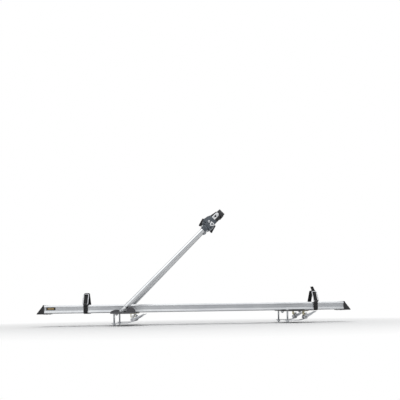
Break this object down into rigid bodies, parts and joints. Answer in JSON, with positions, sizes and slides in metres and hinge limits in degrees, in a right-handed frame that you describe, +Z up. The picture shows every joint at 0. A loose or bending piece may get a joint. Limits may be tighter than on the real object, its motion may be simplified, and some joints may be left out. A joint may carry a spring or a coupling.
{
  "type": "roof mounted bike carrier",
  "caption": "Roof bike carrier with a long aluminium wheel tray, a folding arm with a frame clamp, buckled wheel straps and lever clamps for roof crossbars.",
  "frame": {"origin": "middle of the front saddle's underside, where it rests on the front crossbar", "axes": "+X along the tray towards the rear of the car, +Y across the tray, +Z up"},
  "size_m": [1.424, 0.2516, 0.5255],
  "materials": {
    "tray_aluminium": "satin natural anodised",
    "leg_aluminium": "bright anodised tube",
    "black_plastic": "fine moulded grain",
    "block_plastic": "moulded grain, slightly faded",
    "slate_plastic": "moulded slate grey",
    "label": "plain printed film without lettering",
    "black_steel": "black powder coat",
    "rubber": "matt moulded rubber",
    "strap_rubber": "ribbed strap",
    "zinc_steel": "bright zinc plate",
    "yellow_zinc": "yellow passivated zinc",
    "pin_steel": "zinc plated tube and pin",
    "fasteners": "zinc plated",
    "bright_plate": "polished stainless"
  },
  "bodies": {
    "tray": {"wheel_tray": "tray_aluminium", "front_end_cap": "black_plastic", "rear_end_cap": "black_plastic", "end_cap_screws": "fasteners", "side_label": "label", "base_plate": "black_steel", "front_saddle_pad": "rubber", "near_pivot_block": "block_plastic", "far_pivot_block": "block_plastic", "block_screws": "fasteners", "pivot_bolts": "fasteners", "pivot_nuts": "fasteners", "front_tray_bolts": "fasteners", "front_tray_nuts": "fasteners", "front_near_band": "zinc_steel", "front_far_band": "zinc_steel", "front_clamp_pins": "pin_steel", "front_clamp_hooks": "yellow_zinc", "front_clamp_bolts": "fasteners", "front_clamp_nuts": "fasteners"},
    "rear_support": {"rear_cross_plate": "black_steel", "rear_saddle_pad": "rubber", "rear_tray_bolts": "fasteners", "rear_tray_nuts": "fasteners", "rear_near_band": "zinc_steel", "rear_far_band": "zinc_steel", "rear_clamp_pins": "pin_steel", "rear_clamp_hooks": "yellow_zinc", "rear_clamp_bolts": "fasteners", "rear_clamp_nuts": "fasteners"},
    "front_near_lever": {"front_near_lever": "zinc_steel"},
    "front_far_lever": {"front_far_lever": "zinc_steel"},
    "rear_near_lever": {"rear_near_lever": "zinc_steel"},
    "rear_far_lever": {"rear_far_lever": "zinc_steel"},
    "arm": {"near_leg": "leg_aluminium", "far_leg": "leg_aluminium", "near_leg_lug": "leg_aluminium", "far_leg_lug": "leg_aluminium", "lug_rivets": "fasteners", "head_body": "slate_plastic", "far_jaw": "slate_plastic", "far_jaw_pad": "rubber", "far_jaw_hook": "black_plastic", "jaw_pin": "pin_steel", "leg_bolts": "fasteners"},
    "near_jaw": {"near_jaw": "slate_plastic", "near_jaw_pad": "rubber", "near_jaw_hook": "black_plastic", "jaw_plate": "bright_plate", "latch_plate": "bright_plate"},
    "clamp_bolt": {"clamp_bolt": "fasteners"},
    "clamp_knob": {"clamp_knob": "black_plastic"},
    "front_strap": {"front_wheel_strap": "strap_rubber", "front_strap_keeper": "black_plastic"},
    "rear_strap": {"rear_wheel_strap": "strap_rubber", "rear_strap_keeper": "black_plastic"},
    "front_buckle": {"front_buckle": "zinc_steel"},
    "rear_buckle": {"rear_buckle": "zinc_steel"}
  },
  "joints": [
    {"name": "arm_fold", "type": "hinge", "parent": "tray", "child": "arm", "pos_m": [-0.003, 0, 0.016], "axis": [0, 1, 0], "range_deg": [-35, 37]},
    {"name": "knob_turn", "type": "hinge", "parent": "arm", "child": "clamp_knob", "pos_m": [0.38449, 0, 0.41339], "axis": [0, 1, 0], "range_deg": [0, 1440]},
    {"name": "bolt_travel", "type": "slide", "parent": "arm", "child": "clamp_bolt", "axis": [0, -1, 0], "range_m": [0, 0.0122]},
    {"name": "near_jaw_swing", "type": "hinge", "parent": "arm", "child": "near_jaw", "pos_m": [0.3746, -0.0315, 0.39359], "axis": [0.7071, 0, -0.7071], "range_deg": [0, 22.8]},
    {"name": "rear_support_slide", "type": "slide", "parent": "tray", "child": "rear_support", "axis": [1, 0, 0], "range_m": [-0.2, 0.02]},
    {"name": "front_strap_slide", "type": "slide", "parent": "tray", "child": "front_strap", "axis": [1, 0, 0], "range_m": [-0.14, 0.09]},
    {"name": "rear_strap_slide", "type": "slide", "parent": "tray", "child": "rear_strap", "axis": [1, 0, 0], "range_m": [-0.015, 0.1]},
    {"name": "front_buckle_swing", "type": "hinge", "parent": "front_strap", "child": "front_buckle", "pos_m": [-0.172, -0.04899, 0.04505], "axis": [1, 0, 0], "range_deg": [0, 110]},
    {"name": "rear_buckle_swing", "type": "hinge", "parent": "rear_strap", "child": "rear_buckle", "pos_m": [0.874, -0.04899, 0.04505], "axis": [1, 0, 0], "range_deg": [0, 110]},
    {"name": "front_near_lever_swing", "type": "hinge", "parent": "tray", "child": "front_near_lever", "pos_m": [0.04, -0.1, -0.026], "axis": [0, 1, 0], "range_deg": [0, 115]},
    {"name": "front_far_lever_swing", "type": "hinge", "parent": "tray", "child": "front_far_lever", "pos_m": [0.04, 0.1, -0.026], "axis": [0, 1, 0], "range_deg": [0, 115]},
    {"name": "rear_near_lever_swing", "type": "hinge", "parent": "rear_support", "child": "rear_near_lever", "pos_m": [0.81, -0.076, -0.026], "axis": [0, 1, 0], "range_deg": [0, 115]},
    {"name": "rear_far_lever_swing", "type": "hinge", "parent": "rear_support", "child": "rear_far_lever", "pos_m": [0.81, 0.076, -0.026], "axis": [0, 1, 0], "range_deg": [0, 115]}
  ],
  "couplings": [
    {"joint": "bolt_travel", "follows": "knob_turn", "m_per_rad": 0.00047746},
    {"joint": "near_jaw_swing", "follows": "knob_turn", "ratio": 0.015625}
  ]
}
